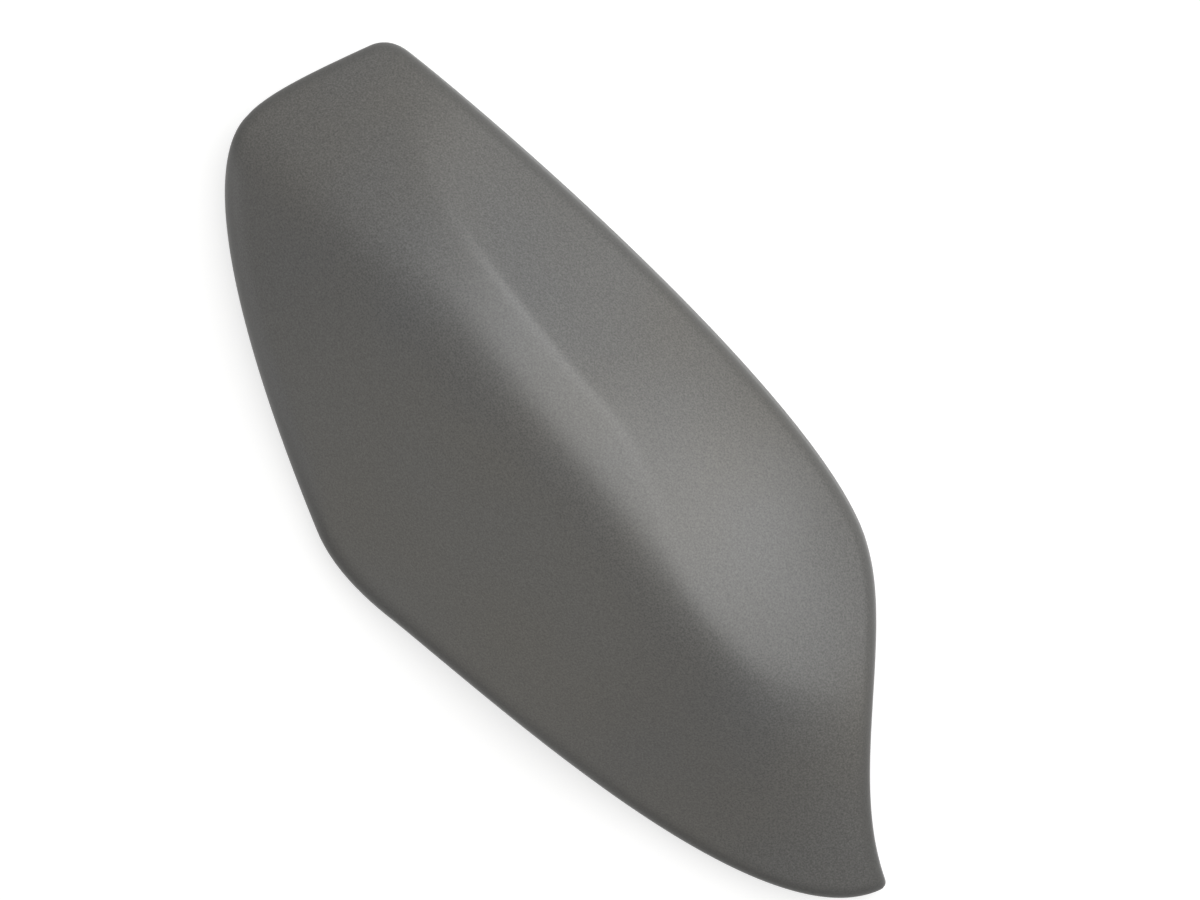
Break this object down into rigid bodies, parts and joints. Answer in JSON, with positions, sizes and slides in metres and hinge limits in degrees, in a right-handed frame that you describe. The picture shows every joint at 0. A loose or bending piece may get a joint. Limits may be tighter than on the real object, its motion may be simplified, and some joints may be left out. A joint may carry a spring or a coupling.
{
  "type": "wing mirror cover",
  "caption": "Domed one-piece moulded cover for the back of a car's wing mirror, with a shoulder, a soft crease, a pointed tail, snap hooks and locating pegs inside.",
  "frame": {"origin": "centre of the bounding box in plan, on the plane of the rim that the cover rests on", "axes": "+X along the shoulder, from the outboard end to the tail; +Y across, towards the upper rim; +Z out of the dome, away from the mirror housing"},
  "size_m": [0.25, 0.11, 0.051],
  "materials": {
    "primed_plastic": "satin grey primer over moulded plastic"
  },
  "bodies": {
    "root": {"mirror_cover": "primed_plastic"}
  },
  "joints": []
}
